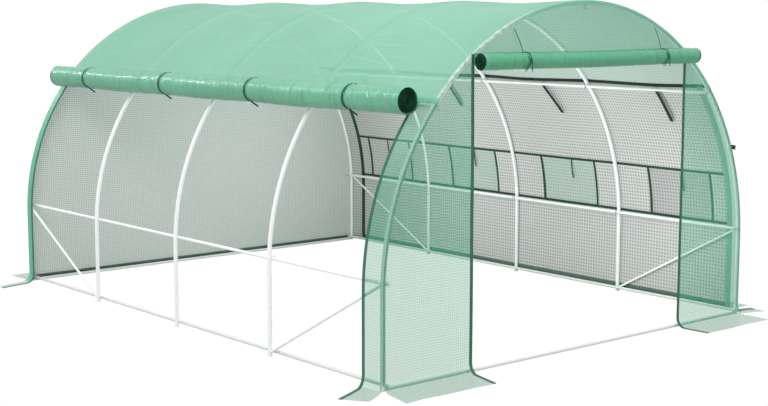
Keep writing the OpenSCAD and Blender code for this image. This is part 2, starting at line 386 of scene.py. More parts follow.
def cover_cloth(name, colour, thread, shade, rough, pass_light, opaque=1.0, width=0.005,
                pitch=THREAD_PITCH, crease=0.0012, net=1.0, folds_with_painted_light_and_shade=False, denser=1.3,
                drawn=False, creases_with_painted_light_and_shade=False):
    """Polyethylene cloth woven of flat tapes, coated on both sides. The coating gives a soft
    plastic sheen, the strong threads show as a fine square net, and light comes through it."""
    material, tree, output = finish_named(name)
    flat = add(tree, "UVMap", uv_map="UVMap").outputs[0]
    spot = add(tree, "TexCoord").outputs["Object"]
    cloud = add(tree, "TexNoise", {"Vector": spot, "Scale": 1.7, "Detail": 3}).outputs[0]
    tone = blend(tree, ramp(tree, cloud, 0.3, 0.7, 0, 1), colour, shade)
    crumple = add(tree, "TexNoise", {"Vector": spot, "Scale": 9, "Detail": 4,
                                     "Distortion": 0.6}).outputs[0]
    normal = bumped(tree, crumple, crease * 6, 0.35)
    if folds_with_painted_light_and_shade:
        # creases 20 to 40 mm apart run round the roll, with finer ones pressed into them; the
        # pleats' ridges are painted lighter as painted highlight and the folds' hollows painted
        # darker as painted shade
        across = add(tree, "Mapping", {"Vector": flat, "Scale": (4, 24, 1)}).outputs[0]
        fold = add(tree, "TexNoise", {"Vector": across, "Scale": 1.0, "Detail": 4,
                                      "Distortion": 0.8}).outputs[0]
        fine = add(tree, "Mapping", {"Vector": flat, "Scale": (11, 70, 1)}).outputs[0]
        pleat = add(tree, "TexNoise", {"Vector": fine, "Scale": 1.0, "Detail": 3,
                                       "Distortion": 0.5}).outputs[0]
        tone = blend(tree, ramp(tree, pleat, 0.58, 0.72, 0, 0.4), tone, "#96cdb4")
        tone = blend(tree, ramp(tree, fold, 0.46, 0.32, 0, 0.3), tone, "#3c7a5f")
        normal = bumped(tree, fold, 0.014, 0.9, normal)
        normal = bumped(tree, pleat, 0.0045, 0.8, normal)
    if creases_with_painted_light_and_shade:
        # faint long creases along the tunnel, from the cloth's time in its box; their ridges are
        # painted lighter as painted highlight and their hollows darker as painted shade
        long_way = add(tree, "Mapping", {"Vector": flat, "Scale": (42, 3.0, 1)}).outputs[0]
        line = add(tree, "TexNoise", {"Vector": long_way, "Scale": 1.0, "Detail": 5,
                                      "Distortion": 1.2}).outputs[0]
        tone = blend(tree, ramp(tree, line, 0.60, 0.70, 0, 0.22), tone, "#a9f2d6")
        tone = blend(tree, ramp(tree, line, 0.40, 0.30, 0, 0.14), tone, "#6cc6a2")
        normal = bumped(tree, line, 0.004, 0.6, normal)
    if drawn:
        # painted glints: pale dashes painted on the cloth over the end hoops, strongest on the left
        # side, stand in for highlights
        glint_side_mask = ramp(tree, add(tree, "SeparateXYZ", {0: spot}).outputs[0], -0.40, -0.70, 0.12, 1)
        dash = add(tree, "TexNoise", {"Vector": flat, "Scale": 34, "Detail": 3}).outputs[0]
        white = add(tree, "Math", {0: ramp(tree, dash, 0.44, 0.60, 0.35, 1), 1: glint_side_mask},
                    operation="MULTIPLY").outputs[0]
        tone = blend(tree, white, tone, "#fbfffd")
    net_mask = None
    if net:
        net_mask = threads(tree, flat, pitch, width)
        shown = add(tree, "Math", {0: net_mask, 1: net}, operation="MULTIPLY").outputs[0]
        tone = blend(tree, shown, tone, thread)
        normal = bumped(tree, net_mask, 0.0006, 0.5, normal)
    shader = add(tree, "BsdfPrincipled", {"Base Color": tone, "Roughness": rough, "IOR": 1.51,
                                          "Normal": normal}).outputs[0]
    if pass_light:
        glow = add(tree, "BsdfTranslucent", {"Color": tone, "Normal": normal}).outputs[0]
        shader = add(tree, "MixShader", {0: pass_light, 1: shader, 2: glow}).outputs[0]
    if opaque < 1:
        cover = ramp(tree, net_mask, 0, 1, opaque, min(1, opaque * denser)) if net else opaque
        clear = add(tree, "BsdfTransparent").outputs[0]
        shader = add(tree, "MixShader", {0: cover, 1: clear, 2: shader}).outputs[0]
    tree.links.new(shader, output.inputs[0])
    return material


def webbing(name, colour, dark, rough=0.62):
    """Woven polyester tape: fine cross ribs, matt, a little dusty in patches."""
    material, tree, output = finish_named(name)
    flat = add(tree, "UVMap", uv_map="UVMap").outputs[0]
    ribs = add(tree, "TexWave", {"Vector": flat, "Scale": 0.314159 / TAPE_RIB, "Distortion": 0.4,
                                 "Detail": 1}, bands_direction="Y").outputs[1]
    dust = add(tree, "TexNoise", {"Vector": flat, "Scale": 22, "Detail": 4}).outputs[0]
    tone = blend(tree, ribs, dark, colour)
    tone = blend(tree, ramp(tree, dust, 0.50, 0.85, 0, 0.12), tone, "#6f8478")
    normal = bumped(tree, ribs, 0.0006, 0.7)
    shader = add(tree, "BsdfPrincipled", {"Base Color": tone, "Roughness": rough,
                                          "Normal": normal, "Sheen Weight": 0.05,
                                          "Sheen Roughness": 0.4}).outputs[0]
    tree.links.new(shader, output.inputs[0])
    return material


def coated_steel(name, colour, worn):
    """Steel tube with a baked powder coat: glossy, with fine orange peel and dull scuffs."""
    material, tree, output = finish_named(name)
    spot = add(tree, "TexCoord").outputs["Object"]
    peel = add(tree, "TexNoise", {"Vector": spot, "Scale": 420, "Detail": 2}).outputs[0]
    scuff = add(tree, "TexNoise", {"Vector": spot, "Scale": 14, "Detail": 6,
                                   "Roughness": 0.7}).outputs[0]
    tone = blend(tree, ramp(tree, scuff, 0.58, 0.78, 0, 0.5), colour, worn)
    dull = ramp(tree, scuff, 0.4, 0.75, 0.32, 0.50)
    shader = add(tree, "BsdfPrincipled", {"Base Color": tone, "Roughness": dull, "IOR": 1.5,
                                          "Normal": bumped(tree, peel, 0.0002, 0.4)}).outputs[0]
    tree.links.new(shader, output.inputs[0])
    return material


def zinc_steel(name):
    """Zinc-plated pressed steel: pale grey metal with cloudy spangle."""
    material, tree, output = finish_named(name)
    spot = add(tree, "TexCoord").outputs["Object"]
    cell = add(tree, "TexVoronoi", {"Vector": spot, "Scale": 260}).outputs[1]
    grey = add(tree, "RGBToBW", {0: cell}).outputs[0]
    tone = blend(tree, grey, "#b9bdbd", "#d4d7d6")
    dull = ramp(tree, grey, 0, 1, 0.28, 0.46)
    shader = add(tree, "BsdfPrincipled", {"Base Color": tone, "Metallic": 1.0,
                                          "Roughness": dull}).outputs[0]
    tree.links.new(shader, output.inputs[0])
    return material


# the cover's cloth from outside: colour, strong threads and its darker clouds
MINT = ("#82ddb9", "#8fe2c1", "#7bd4b0")
# the roof's long creases carry painted highlight and painted shade
roof_skin = cover_cloth("coated_woven_polyethylene_roof", *MINT, 0.40, 0.35,
                        opaque=0.60, net=0, crease=0.0022, creases_with_painted_light_and_shade=True)
# the roof's hem over the end hoops is painted lighter than the roof, as painted light on cloth
# turned away from the sky, and drawn adds painted glints
roof_hem = cover_cloth("roof_cloth_drawn_tight_over_the_end_hoops", "#96e6c8", "#96e6c8",
                       "#8cdcbe", 0.14, 0.30, opaque=0.70, net=0, drawn=True)
wall_skin = cover_cloth("coated_woven_polyethylene_wall", *MINT, 0.36, 0.45,
                        width=0.006, pitch=WALL_PITCH, net=0.8)

# its grey inner face: one cloth, painted lighter on the back wall and on windows 2 and 3 and darker
# on window 1, as painted light and painted shade
roof_lining = cover_cloth("roof_inner_face", "#a9a9a8", "#d3d3d2", "#a3a3a2", 0.5, 0.40,
                          opaque=0.60, width=0.008, denser=1.04)
lining = cover_cloth("woven_polyethylene_inner_face", "#958f91", "#e2dcde", "#9d9799", 0.55, 0.25,
                     width=0.013, pitch=WALL_PITCH)
back_lining_painted_lighter = cover_cloth("woven_polyethylene_back_wall_inner_face_painted_lighter", "#aaa5a7", "#efebed",
                          "#b1acae", 0.55, 0.25, width=0.008)
# the inner face is darker along the walls' feet
foot_lining = cover_cloth("woven_polyethylene_inner_face_darker_at_the_foot", "#5d7a6c", "#6d8a7c", "#55705f",
                          0.55, 0.10, width=0.006)
window_lining_painted_lighter = cover_cloth("window_flap_inner_face", "#a9b1ad", "#d8dcda", "#adb5b1", 0.30, 0.35,
                            width=0.013, pitch=WALL_PITCH)
shaded_lining = cover_cloth("first_window_flap_inner_face_painted_shade", "#868183", "#cac5c7", "#8c8789",
                            0.55, 0.25, width=0.013, pitch=WALL_PITCH)

# clearer cloth of the front and the flaps
front_cloth = cover_cloth("clear_green_woven_polyethylene", "#4cb490", "#5abf9d", "#44ab87",
                          0.30, 0.25, opaque=0.225, width=0.006, denser=1.36)
doubled_hem = cover_cloth("doubled_hem_of_clear_cloth", "#84c6a9", "#84c6a9", "#7bbda0",
                          0.18, 0.20, opaque=0.36, net=0)
flap_film = cover_cloth("clear_green_flap_film", "#5fa386", "#5fa386", "#66a98c", 0.28, 0.10,
                        opaque=0.36, net=0)
zip_cloth = cover_cloth("green_zip_cloth", "#93bfab", "#9fc9b6", "#8bb7a2", 0.5, 0.3)

# cloth rolled up, which is too thick to let light through
ROLLED_LOOK = {"width": 0.004, "crease": 0.002, "net": 0.3}
# the rolls' folds carry painted highlight on their pleats and painted shade in their hollows
roll_skin = cover_cloth("rolled_woven_polyethylene", "#6cb996", "#78c3a2", "#62ad8a", 0.17, 0.0,
                        folds_with_painted_light_and_shade=True, **ROLLED_LOOK)
door_roll_skin = cover_cloth("rolled_door_cloth", "#58ae85", "#63b98f", "#4ea27b", 0.19, 0.0,
                             folds_with_painted_light_and_shade=True, **ROLLED_LOOK)
roll_end = cover_cloth("rolled_curtain_end_band", "#5fb792", "#68be9b", "#57ae89", 0.25, 0.0,
                       **ROLLED_LOOK)
roll_dark = cover_cloth("rolled_curtain_edge_tape", "#164733", "#1d5540", "#123d2b", 0.45, 0.0)

green_tape = webbing("dark_green_edge_webbing", "#2f7a5a", "#225c43")
tie_tape = webbing("dark_green_tie_webbing", "#176646", "#0e4831", 0.75)
deep_tape = webbing("dark_green_inner_webbing", "#1f4536", "#14332a")
black_tape = webbing("black_strap_webbing", "#232826", "#141716")
white_steel = coated_steel("white_powder_coated_steel", "#fbfcfc", "#dcdfde")
# a greyer white for the ground rails and the sill
low_tube_steel = coated_steel("white_powder_coated_steel_greyer_on_the_low_tubes", "#e4e7e6", "#cbd0ce")
zinc = zinc_steel("zinc_plated_steel")

# outer and inner materials of a sheet, pair by pair
ROOF = [roof_skin, roof_lining]
WALL = [wall_skin, lining]
FRONT = [front_cloth, front_cloth]
FLAP = [flap_film, flap_film]
ROLLED = [roll_dark, roll_dark, roll_end, roll_end]

# ------------ tubes kept from the CAD
for name in nodes:
    low_tube = name.startswith(("ground_rail", "sill"))
    if low_tube or name.startswith(("hoop", "side_rail", "purlin", "ridge", "brace")):
        mesh = nodes[name].data
        mesh.materials.clear()
        mesh.materials.append(low_tube_steel if low_tube else white_steel)

# ------------ camera
camera_data = bpy.data.cameras.new("camera")
camera = new_object("camera", camera_data)
camera.location = (-6.021, -7.412, 1.925)
camera.rotation_euler = (math.radians(90 - 7.632), 0, math.radians(-39.948))
camera_data.lens = 66.30
bpy.context.scene.camera = camera

# ------------ roof
HEM_END = END_Y + WRAP_R * math.pi / 2 + HEM
hoop_marks = HOOP_Y[1:-1]
long_marks = [-HEM_END, -END_Y - ROUND_HOOP, -END_Y, *hoop_marks, END_Y, END_Y + ROUND_HOOP,
              HEM_END]
ROOF_HALF = CROWN - SEAM_H + 0.012   # with the seam's overlap


def along(marks, step=STEP):
    """Positions along the tunnel, closer together where the cloth bends over an end hoop."""
    made = []
    for a, b in zip(marks, marks[1:]):
        tight = min(abs(a), abs(b)) >= END_Y - 1e-6 and max(abs(a), abs(b)) <= END_Y + 0.024
        piece = spots([a, b], 0.0046 if tight else step)
        made += piece if not made else piece[1:]
    return made


def roof_point(u, v):
    side = 1 if u > 0 else -1
    return shell(side, CROWN - abs(u), v)


roof = lay("roof_sheet", spots([-ROOF_HALF, 0, ROOF_HALF], STEP), along(long_marks),
           roof_point, ROOF + [roof_hem, roof_lining], out_of_tunnel,
           paint=lambda u, v: 1 if abs(v) > END_Y else 0)
settle(roof, "cover_sheet", "roof_cover")

# seam tapes along both edges of the roof
for side, word in ((-1, "left"), (1, "right")):
    tape = lay(f"seam_webbing_{word}", [SEAM_H + w for w in (-0.012, -0.002, 0.007, 0.016)],
               along(long_marks[1:-1]), lambda u, v, s=side: shell(s, u, v, 0.0002),
               [wall_skin, black_tape], out_of_tunnel, thick=0.0030)
    settle(tape, "green_tape", f"seam_tape_{word}")

# ------------ side walls
wall_marks = [TIP, BEND, TURN, LEG, SEAM_H]


def up_wall(marks=None, step=STEP):
    """Heights along the cloth, closer together where it turns out at the ground."""
    made = []
    marks = marks or wall_marks
    for a, b in zip(marks, marks[1:]):
        tight = a >= BEND - 1e-6 and b <= TURN + 1e-6
        piece = spots([a, b], 0.008 if tight else step)
        made += piece if not made else piece[1:]
    return made


# toes of the corner flaps: y of the root and the way out from it to the free edge, twice
toes_front_left = ((-2.0, (-0.174, -0.105, 0)), (-1.838, (-0.263, -0.133, 0)))
toes_back_left = ((1.912, (-0.277, -0.070, 0)), (2.0, (-0.268, -0.089, 0)))
toes_front_right = ((-2.0, (0.175, -0.083, 0)), (-1.892, (0.179, -0.072, 0)))
toes_back_right = ((1.818, (0.246, 0.012, 0)), (2.0, (0.246, 0.02, 0)))

# y of the ends of the open side and of the windowed wall
left_gap = (-1.8583, 1.9323)
right_gap = (-1.9323, 1.8583)
BINDING = 0.020   # width of the open side's bindings
ZIP = 0.040       # width of a zip with its cloth
LAP = 0.006       # a sheet's edge under its binding or zip
for place, side, outer, inner, toes, cloth in (
        ("front_left", -1, -HEM_END, left_gap[0] + LAP, toes_front_left, FRONT),
        ("back_left", -1, HEM_END, left_gap[1] - LAP, toes_back_left, WALL),
        ("front_right", 1, -HEM_END, right_gap[0] + LAP, toes_front_right, FRONT),
        ("back_right", 1, HEM_END, right_gap[1] - LAP, toes_back_right, WALL)):
    end = 1 if outer > 0 else -1
    hem_edge = -END_Y + (0.012 if side > 0 else -0.001)
    strip = lay(f"corner_strip_{place}", up_wall(),
                along(sorted([outer, end * (END_Y + ROUND_HOOP), end * END_Y, inner]), 0.016),
                lambda u, v, s=side, t=toes: shell(s, u, v, 0, t),
                cloth + FLAP + [doubled_hem, doubled_hem], out_of_tunnel,
                paint=lambda u, v, edge=hem_edge: 1 if u < 0 else 2 if v < edge else 0)
    settle(strip, "front_sheet" if cloth is FRONT else "cover_sheet", f"strip_{place}")


def upright(name, side, us, step, lift, toes, finish, thick, *stands_for):
    """A tape up a side of the cover, from the free edge of its flap to the seam."""
    tape = lay(name, us, up_wall(step=step), lambda u, v: shell(side, v, u, lift(v), toes),
               finish, out_of_tunnel, thick=thick)
    settle(tape, "green_tape", *stands_for)


# bindings of the open side
for word, a, b, toes in (("front", left_gap[0], left_gap[0] + BINDING, toes_front_left),
                         ("back", left_gap[1] - BINDING, left_gap[1], toes_back_left)):
    upright(f"open_side_binding_{word}", -1, spots([a, (a + b) / 2, b], 0.006), 0.02,
            lambda v: 0.0001, toes, [green_tape, green_tape], 0.0032,
            *(["left_opening_bindings"] if word == "front" else []))

# zips at both ends of the windowed wall
for word, a, b, toes in (("front", right_gap[0], right_gap[0] + ZIP, toes_front_right),
                         ("back", right_gap[1] - ZIP, right_gap[1], toes_back_right)):
    upright(f"zip_tape_{word}", 1, spots([a, b], 0.01), 0.02, lambda v: 0.0002, toes,
            [zip_cloth, zip_cloth if word == "front" else deep_tape], 0.0030,
            *(["right_zip_tapes"] if word == "front" else []))
    upright(f"zip_chain_{word}", 1, [(a + b) / 2 + w for w in (-0.004, -0.0015, 0.0015, 0.004)],
            0.0024, lambda v: 0.0021 + 0.0008 * math.cos(v * math.pi / 0.0024), toes,
            [black_tape, black_tape], 0.0016)

# ------------ windowed wall on the right
BAYS = [(a + b) / 2 for a, b in zip(HOOP_Y, HOOP_Y[1:])]
WINDOW_MID = [y - 0.037 for y in BAYS]
WINDOW_HALF = 0.255
WINDOW_LOW = LEG + COVER_R * math.radians(3.3)
WINDOW_HIGH = LEG + COVER_R * math.radians(15.2)
right_ends = (right_gap[0] + ZIP, right_gap[1] - ZIP)


def in_window(u, v):
    return WINDOW_LOW < u < WINDOW_HIGH and any(abs(v - m) < WINDOW_HALF for m in WINDOW_MID)


edges = sorted([right_ends[0] - LAP, right_ends[1] + LAP, *hoop_marks,
                *[m - WINDOW_HALF for m in WINDOW_MID], *[m + WINDOW_HALF for m in WINDOW_MID]])
right_wall = lay("windowed_wall",
                 up_wall([TIP, BEND, 0, TURN, LEG, WINDOW_LOW, WINDOW_HIGH, SEAM_H]),
                 spots(edges, STEP), lambda u, v: shell(1, u, v),
                 WALL + [wall_skin, foot_lining] + FLAP, out_of_tunnel,
                 cut=in_window, paint=lambda u, v: 2 if u < 0 else 1 if u < TURN else 0)
settle(right_wall, "cover_sheet", "right_curtain_upper", "right_window_walls",
       "right_curtain_lower")

# window 1's inner face is painted shade, windows 2 and 3's are painted lighter as painted light,
# and window 4 has the wall's own
WINDOW_INSIDE = [shaded_lining, window_lining_painted_lighter, window_lining_painted_lighter, lining]
for number, m in enumerate(WINDOW_MID, 1):
    def cover_flap(u, v, m=m):
        across = min(1, abs(v - m) / (WINDOW_HALF + 0.014))
        drop = (WINDOW_HIGH - u) / (WINDOW_HIGH - WINDOW_LOW)
        belly = 0.006 * (1 - across ** 2) * math.sin(math.pi * min(1, max(0, drop))) \
            + 0.002 * smooth(drop)
        return shell(1, u, v, 0.0022 + belly)

    flap = lay(f"window_flap_{number}",
               spots([WINDOW_LOW - 0.012, WINDOW_HIGH + 0.006], 0.02),
               spots([m - WINDOW_HALF - 0.012, m + WINDOW_HALF + 0.012], 0.02),
               cover_flap, [wall_skin, WINDOW_INSIDE[number - 1]],
               out_of_tunnel, thick=0.0008)
    settle(flap, "window_sheet", *(["right_window_flaps"] if number == 1 else []))

# tapes round the windows, sewn over both faces
TAPE = 0.018


def wall_ribbon(name, us, vs, lift, thick, finish, slot, *stands_for):
    ribbon = lay(name, us, vs, lambda u, v: shell(1, u, v, lift), finish, out_of_tunnel,
                 thick=thick)
    return settle(ribbon, slot, *stands_for)


tape_run = spots([right_ends[0], *hoop_marks, right_ends[1]], 0.03)
wall_ribbon("window_tape_low", [WINDOW_LOW - 0.018, WINDOW_LOW - 0.009, WINDOW_LOW], tape_run,
            0.0003, 0.0030, [green_tape, deep_tape], "green_tape", "right_window_tapes")
wall_ribbon("window_tape_high", [WINDOW_HIGH, WINDOW_HIGH + 0.009, WINDOW_HIGH + 0.018],
            tape_run, 0.0003, 0.0030, [green_tape, deep_tape], "green_tape")
for number, m in enumerate(WINDOW_MID, 1):
    for word, y in (("front", m - WINDOW_HALF), ("back", m + WINDOW_HALF)):
        wall_ribbon(f"window_tape_{number}_{word}", spots([WINDOW_LOW, WINDOW_HIGH], 0.03),
                    [y - TAPE / 2, y, y + TAPE / 2], 0.0003, 0.0034,
                    [green_tape, deep_tape], "green_tape")


# ------------ end walls
def end_columns(x0, x1):
    """Places across an end wall, closer together where its arch gets steep."""
    a, b = math.asin(x0 / X_END), math.asin(x1 / X_END)
    count = max(2, math.ceil(abs(b - a) * X_END / 0.028))
    return [X_END * math.sin(mix(a, b, i / count)) for i in range(count + 1)]


FOOT = 0.035   # top of the dark band along the back wall's foot


def rows_above(step, tall):
    """Flap and turn as heights, below 1, and the wall above as 1 to 2."""
    low = up_wall([TIP, BEND, 0, FOOT, TURN])
    return low + [1 + i / round(tall / step) for i in range(1, round(tall / step) + 1)]


def end_height(x, v):
    return v if v < 1 else mix(TURN, arch_top(x), v - 1)


def end_wall(name, end, columns, tall, finish, toes, paint, node, slot):
    piece = lay(name, columns, rows_above(0.03, tall),
                lambda u, v: face(end, u, end_height(u, v), 0, toes), finish,
                out_of_front if end < 0 else out_of_back,
                paint=paint, tiles=lambda u, v: (u, end_height(u, v)))
    settle(piece, slot, node)


back_toes = ((-X_END, (-0.03, 0.246, 0)), (X_END, (0.03, 0.246, 0)))
# the back wall's inner face is painted lighter than the side wall's, as painted light
end_wall("back_sheet", 1, end_columns(-X_END, X_END), 1.9,
         [wall_skin, back_lining_painted_lighter, wall_skin, foot_lining] + FLAP, back_toes,
         lambda u, v: 2 if v < 0 else 1 if v < FOOT else 0, "back_wall", "cover_sheet")
left_toes = ((-X_END, (-0.055, -0.246, 0)), (-DOOR_HALF, (-0.060, -0.250, 0)))
right_toes = ((DOOR_HALF, (-0.006, -0.240, 0)), (X_END, (-0.004, -0.238, 0)))
for word, x0, x1, toes in (("left", -X_END, -DOOR_HALF, left_toes),
                           ("right", DOOR_HALF, X_END, right_toes)):
    end_wall(f"front_panel_sheet_{word}", -1, end_columns(x0, x1), 1.4, FRONT + FLAP, toes,
             lambda u, v: 1 if v < 0 else 0, f"front_panel_{word}", "front_sheet")


def gable_point(u, v):
    low = DOOR_HEAD - 0.004
    return face(-1, u, mix(low, max(low + 0.003, arch_top(u)), v))


gable = lay("gable_sheet", end_columns(-DOOR_HALF, DOOR_HALF), spots([0, 1], 0.09), gable_point,
            FRONT, out_of_front,
            tiles=lambda u, v: (u, mix(DOOR_HEAD, arch_top(u), v)))
settle(gable, "front_sheet", "gable_panel")

# bindings of the doorway's edges, down the jambs and along the flaps
for word, x0, x1, toes in (("left", -DOOR_HALF - 0.010, -DOOR_HALF + 0.010, left_toes),
                           ("right", DOOR_HALF - 0.010, DOOR_HALF + 0.010, right_toes)):
    jamb = lay(f"door_binding_{word}", spots([x0, x1], 0.007),
               up_wall([TIP, BEND, TURN, DOOR_HEAD], 0.02),
               lambda u, v, t=toes: face(-1, u, v, 0.0002, t), [green_tape, green_tape],
               out_of_front, thick=0.0032)
    settle(jamb, "green_tape", *(["door_bindings"] if word == "left" else []))


# ------------ rolled curtain and door
def spiral(out, down, radius, core, length, lead):
    """Points of a sheet that comes down behind its roll and winds in, under, front and over,
    from the middle of the roll: (position across, radius share, turns in, cloth length)."""
    pitch = math.pi * (radius ** 2 - core ** 2) / length
    found = [(-out * radius - down * lead * (1 - i / 4), 0, lead * i / 4) for i in range(4)]
    angle, used = 0.0, lead
    while True:
        r = radius - pitch * angle / (2 * math.pi)
        if r < core:
            return found
        found.append(((-out * math.cos(angle) + down * math.sin(angle)) * r,
                      angle / (2 * math.pi), used))
        turned = angle / (2 * math.pi)
        step = math.radians(11 if turned < 1 else 20 if turned < 3 else 30)
        used += r * step
        angle += step


def roll(name, centre, axis, ends, out, down, radius, core, length, lead, ties, skin, droop):
    """A sheet rolled up and tied: pinched at its ties, crumpled and hanging a little between.
    length is the cloth's, core the radius of its innermost turn and lead the part above it."""
    points = spiral(out, down, radius, core, length, lead)
    where = {used: (p, turned) for p, turned, used in points}

    def place(u, v):
        p, turned = where[u]
        pinch = sum(math.exp(-((v - t) / 0.028) ** 2) for t in ties)
        inside = [ends[0], *ties, ends[1]]
        hang = 0.0
        for a, b in zip(inside, inside[1:]):
            if a <= v <= b and a in ties and b in ties:
                hang = math.sin(math.pi * (v - a) / (b - a)) ** 2
        ring = p.normalized()
        spot = axis * v + ring * 0.05
        fold = noise.noise(spot * 17) * 0.7 + noise.noise(
            Vector((v * 38, (ring.x + ring.y) * 2.6, ring.z * 2.6 + turned * 0.4))) * 0.28
        size = p.length
        rough = 0.036 * radius * fold * (1 if turned > 0 or size <= radius else 0)
        crush = 1 - 0.085 * pinch * (1 if turned < 3 else 0.7)
        depth = turned / 9
        slide = 0.008 * math.sin(turned * 5.1 + (1 if v > 0 else 2.3)) * depth * smooth(
            (abs(v - (ends[0] + ends[1]) / 2) - (ends[1] - ends[0]) * 0.42) / 0.3)
        q = p * crush + ring * rough
        if turned == 0 and size > radius + 1e-6:
            q = p
        return centre + q + axis * (v + slide) - Vector((0, 0, droop * hang))

    near_end, edge = 0.024, 0.012

    def paint(u, v):
        p, turned = where[min(where, key=lambda k: abs(k - u))]
        if min(v - ends[0], ends[1] - v) > near_end:
            return 0
        return 1 if turned > 0.9 or ends[1] - v < edge else 2

    vs = spots(sorted({ends[0], ends[0] + near_end, *ties, ends[1] - near_end,
                       ends[1] - edge, ends[1]}), 0.013)
    return lay(name, [used for _, _, used in points], vs, place, [skin, skin] + ROLLED,
               lambda p: p - centre - axis * (p - centre).dot(axis), paint=paint)


SIDE_AXIS = 1.5820   # the side roll's middle line from the hoops' centre
side_angle = math.radians(38.3)
side_out = Vector((-math.cos(side_angle), 0, math.sin(side_angle)))
side_down = Vector((-math.sin(side_angle), 0, -math.cos(side_angle)))
side_centre = Vector((0, 0, LEG)) + side_out * SIDE_AXIS
SIDE_ROLL_R = 0.0755
side_ends = (-1.898, 1.948)
side_ties = [-1.440, -0.510, 0.457, 1.465]
side_roll = roll("open_side_curtain_roll", side_centre, Vector((0, 1, 0)), side_ends, side_out,
                 side_down, SIDE_ROLL_R, 0.011, 1.66, 0.055, side_ties, roll_skin, 0.005)
settle(side_roll, "rolled_sheet", "left_curtain_roll")

door_centre = Vector((0, -2.0545, 1.6747))
DOOR_ROLL_R = 0.0468
door_ends = (-0.876, 0.910)
door_ties = [-0.546, 0.605]
door_roll = roll("door_curtain_roll", door_centre, Vector((1, 0, 0)), door_ends,
                 Vector((0, -1, 0)), Vector((0, 0, -1)), DOOR_ROLL_R, 0.009, 1.90, 0.045,
                 door_ties, door_roll_skin, 0.004)
settle(door_roll, "rolled_sheet", "door_roll")


# ------------ straps and ties
def strap(name, path, across, width, thick, webbing_used, slot, *stands_for):
    """A flat strap along path; across is the direction of its width."""
    line = [0.0]
    for a, b in zip(path, path[1:]):
        line.append(line[-1] + (b - a).length)
    index = {s: i for i, s in enumerate(line)}
    first = (path[1] - path[0]).cross(across)

    def place(u, v):
        return path[index[v]] + across * u

    piece = lay(name, [-width / 2, -width / 6, width / 6, width / 2], line, place,
                [webbing_used, webbing_used], lambda p: first, thick=thick)
    settle(piece, slot, *stands_for)


def round_curve(points, count):
    """A smooth line of count points through the given ones."""
    made = []
    last = len(points) - 1
    for k in range(count):
        t = k / (count - 1) * last
        i = min(last - 1, int(t))
        f = t - i
        a, b = points[i], points[i + 1]
        before = points[i - 1] if i else a - (b - a)
        after = points[i + 2] if i + 2 <= last else b + (b - a)
        made.append(0.5 * ((2 * a) + (b - before) * f + (2 * before - 5 * a + 4 * b - after) * f * f
                           + (3 * a - before - 3 * b + after) * f ** 3))
    return made


# ties of the rolled curtain: sewn to the roof, over the roll, knotted below with a tail
for number, y in enumerate(side_ties, 1):
    held_r = SIDE_ROLL_R * 0.915 + 0.0026
    root = -side_out * (SIDE_ROLL_R + 0.003) - side_down * 0.104
    lean = math.atan2(root.dot(side_down), -root.dot(side_out))
    touch = lean - math.acos(held_r / root.length)
    path = []
    for i in range(6):
        s = i / 6
        tangent = (-side_out * math.cos(touch) + side_down * math.sin(touch)) * held_r
        sag_in = 0.004 * math.sin(math.pi * s)
        path.append(root.lerp(tangent, s) + side_out * 0.004 * (1 - s) - Vector((0, 0, sag_in)))
    stop = math.radians(62)
    goal = stop - 2 * math.pi if touch < stop else stop
    for i in range(25):
        b = mix(touch, goal, i / 24)
        path.append((-side_out * math.cos(b) + side_down * math.sin(b)) * held_r)
    slant = 0.022
    whole = len(path) - 1
    placed = [side_centre + p + Vector((0, y - slant / 2 + slant * i / whole, 0))
              for i, p in enumerate(path)]
    strap(f"roll_tie_{number}", placed, Vector((0, 1, 0)), 0.014, 0.0020,
          tie_tape, "green_tape", *(["left_roll_ties"] if number == 1 else []))
    below = placed[-1]
    tail = round_curve([below, below + Vector((0.004, -0.022, -0.010)),
                        below + Vector((0.016, -0.050, -0.028))], 9)
    strap(f"roll_tie_{number}_tail", tail, Vector((0.45, 0.35, 0.8)).normalized(), 0.012, 0.0016,
          tie_tape, "green_tape")


def string(name, path, *stands_for):
    """A round string drawn along a path, its ends closed."""
    data = bpy.data.curves.new(name, "CURVE")
    data.dimensions = "3D"
    line = data.splines.new("POLY")
    line.points.add(len(path) - 1)
    for point, p in zip(line.points, path):
        point.co = (*p, 1)
    data.bevel_depth = STRING_R
    data.bevel_resolution = 2
    data.use_fill_caps = True
    only(new_object(name, data))
    bpy.ops.object.convert(target="MESH")
    piece = bpy.context.object
    piece.name = piece.data.name = name
    piece.data.materials.clear()
    piece.data.materials.append(tie_tape)
    soft_edges(piece, 60)
    settle(piece, "green_tape", *stands_for)


